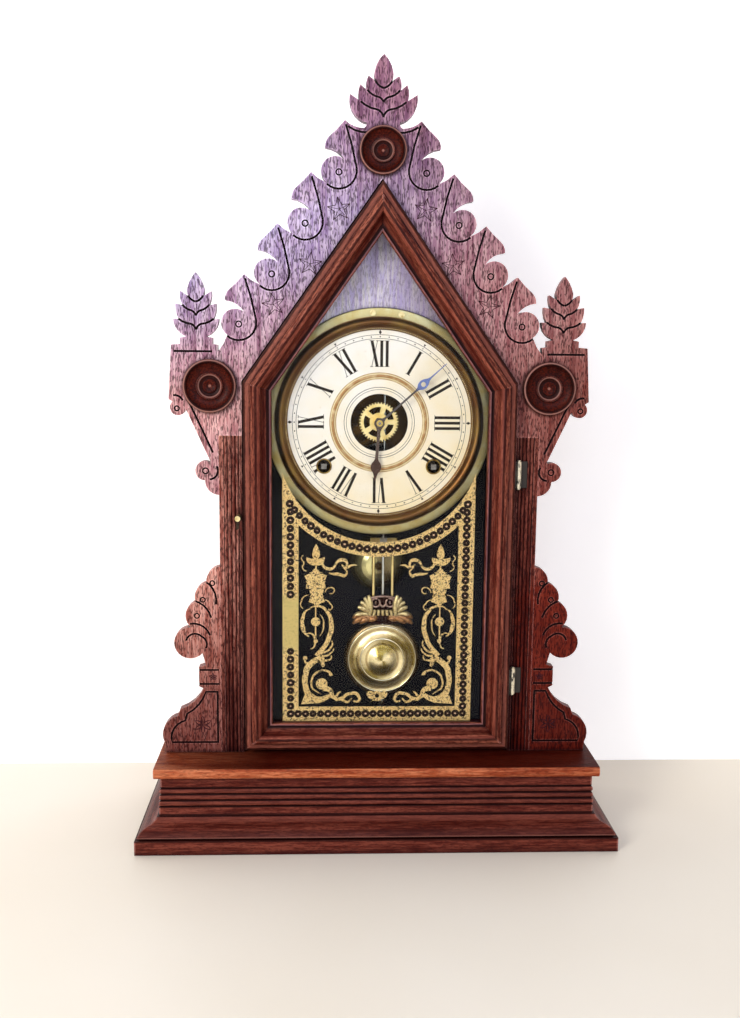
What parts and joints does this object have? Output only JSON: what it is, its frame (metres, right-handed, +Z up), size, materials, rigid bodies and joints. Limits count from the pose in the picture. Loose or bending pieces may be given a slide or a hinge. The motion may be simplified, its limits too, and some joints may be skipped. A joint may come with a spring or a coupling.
{
  "type": "parlor clock",
  "caption": "Gothic-gable wooden shelf clock with a glazed hinged door, scroll-cut crest, Roman dial, spring-driven movement, bell and pendulum.",
  "frame": {"origin": "middle of the base's footprint, on the surface it stands on", "axes": "+X to the viewer's right, -Y out of the dial, +Z up"},
  "size_m": [0.3804, 0.13, 0.61],
  "materials": {
    "walnut_board": "satin varnish",
    "walnut_moulding": "satin varnish",
    "case_wood": "matt oil",
    "rosette_wood": "gloss varnish",
    "panel_wood": "satin varnish",
    "glass": "clear, gold stencil on the back",
    "polished_brass": "polished, aged",
    "movement_brass": "aged",
    "steel": "bright",
    "blued_steel": "blued",
    "dark_iron": "dark oxide",
    "dial_paper": "printed paper on tin"
  },
  "bodies": {
    "case": {"base_front_moulding": "walnut_moulding", "base_side_mouldings": "walnut_moulding", "base_shelf": "walnut_moulding", "base_back_rail": "case_wood", "glue_blocks": "case_wood", "case_sides": "case_wood", "roof_boards": "case_wood", "back_board": "case_wood", "case_screws": "steel", "pilaster_left": "walnut_board", "pilaster_right": "walnut_board", "crest_board": "walnut_board", "upper_wing_left": "walnut_board", "upper_wing_right": "walnut_board", "lower_wing_left": "walnut_board", "lower_wing_right": "walnut_board", "rosette_left": "rosette_wood", "rosette_right": "rosette_wood", "rosette_top": "rosette_wood", "case_hinge_leaves": "steel", "hinge_pins": "steel", "gable_panel": "panel_wood", "dial_cleats": "case_wood", "dial_pan": "dial_paper", "dial_bezel": "polished_brass", "dial_grommets": "polished_brass", "front_plate": "movement_brass", "back_plate": "movement_brass", "movement_pillars": "steel", "mainsprings": "steel", "suspension_post": "movement_brass", "bell": "polished_brass", "bell_post": "steel"},
    "door": {"door_stile_left": "walnut_moulding", "door_stile_right": "walnut_moulding", "door_rail": "walnut_moulding", "door_rafter_left": "walnut_moulding", "door_rafter_right": "walnut_moulding", "door_glass": "glass", "glass_beads": "walnut_moulding", "door_hinge_leaves": "steel"},
    "hook": {"door_hook": "dark_iron"},
    "minute_arbor": {"centre_arbor": "movement_brass", "minute_hand": "blued_steel", "hand_nut": "polished_brass"},
    "hour_arbor": {"hour_wheel": "movement_brass", "hour_hand": "blued_steel"},
    "minute_wheel": {"minute_wheel": "movement_brass"},
    "second_wheel": {"second_wheel": "movement_brass"},
    "time_great_wheel": {"time_great_wheel": "movement_brass"},
    "strike_great_wheel": {"strike_great_wheel": "movement_brass"},
    "time_winding_arbor": {"time_winding_arbor": "steel"},
    "strike_winding_arbor": {"strike_winding_arbor": "steel"},
    "third_wheel": {"third_wheel": "movement_brass"},
    "escape_wheel": {"escape_wheel": "movement_brass"},
    "verge": {"verge": "steel"},
    "pendulum": {"pendulum_rod": "steel", "pendulum_ornament": "polished_brass", "pendulum_bob": "polished_brass"},
    "hammer": {"hammer": "steel"}
  },
  "joints": [
    {"name": "door_swing", "type": "hinge", "parent": "case", "child": "door", "pos_m": [0.1102, -0.0176, 0.2], "axis": [0, 0, 1], "range_deg": [0, 95]},
    {"name": "hook_turn", "type": "hinge", "parent": "case", "child": "hook", "pos_m": [-0.111, -0.0245, 0.26], "axis": [0, -1, 0], "range_deg": [0, 85]},
    {"name": "minute_turn", "type": "hinge", "parent": "case", "child": "minute_arbor", "pos_m": [0, 0.02, 0.334], "axis": [0, 1, 0], "continuous": true},
    {"name": "hour_turn", "type": "hinge", "parent": "case", "child": "hour_arbor", "pos_m": [0, 0, 0.334], "axis": [0, 1, 0], "continuous": true},
    {"name": "minute_wheel_turn", "type": "hinge", "parent": "case", "child": "minute_wheel", "pos_m": [-0.01809, 0.008, 0.32742], "axis": [0, 1, 0], "continuous": true},
    {"name": "second_wheel_turn", "type": "hinge", "parent": "case", "child": "second_wheel", "pos_m": [0.02625, 0.03, 0.32425], "axis": [0, 1, 0], "continuous": true},
    {"name": "time_great_turn", "type": "hinge", "parent": "case", "child": "time_great_wheel", "pos_m": [0.0438, 0.0395, 0.299], "axis": [0, 1, 0], "continuous": true},
    {"name": "strike_great_turn", "type": "hinge", "parent": "case", "child": "strike_great_wheel", "pos_m": [-0.0438, 0.0395, 0.299], "axis": [0, 1, 0], "continuous": true},
    {"name": "time_winding", "type": "hinge", "parent": "case", "child": "time_winding_arbor", "pos_m": [0.0438, 0.02, 0.299], "axis": [0, 1, 0], "continuous": true},
    {"name": "strike_winding", "type": "hinge", "parent": "case", "child": "strike_winding_arbor", "pos_m": [-0.0438, 0.02, 0.299], "axis": [0, 1, 0], "continuous": true},
    {"name": "third_wheel_turn", "type": "hinge", "parent": "case", "child": "third_wheel", "pos_m": [-0.01055, 0.03, 0.35533], "axis": [0, 1, 0], "continuous": true},
    {"name": "escape_turn", "type": "hinge", "parent": "case", "child": "escape_wheel", "pos_m": [0.0052, 0.025, 0.367], "axis": [0, 1, 0], "continuous": true},
    {"name": "pendulum_swing", "type": "hinge", "parent": "case", "child": "pendulum", "pos_m": [0.0052, 0.011, 0.384], "axis": [0, 1, 0], "range_deg": [-2.5, 2.5]},
    {"name": "verge_rock", "type": "hinge", "parent": "case", "child": "verge", "pos_m": [0.0052, 0.025, 0.384], "axis": [0, 1, 0], "range_deg": [-2.5, 2.5]},
    {"name": "hammer_lift", "type": "hinge", "parent": "case", "child": "hammer", "pos_m": [-0.014, 0.048, 0.274], "axis": [0, 1, 0], "range_deg": [0, 12]}
  ],
  "couplings": [
    {"joint": "hour_turn", "follows": "minute_turn", "ratio": 0.083333},
    {"joint": "minute_wheel_turn", "follows": "minute_turn", "ratio": -0.33333},
    {"joint": "second_wheel_turn", "follows": "minute_turn", "ratio": -0.16667},
    {"joint": "time_great_turn", "follows": "minute_turn", "ratio": 0.023148},
    {"joint": "third_wheel_turn", "follows": "minute_turn", "ratio": -7.5},
    {"joint": "verge_rock", "follows": "pendulum_swing", "ratio": 1}
  ]
}
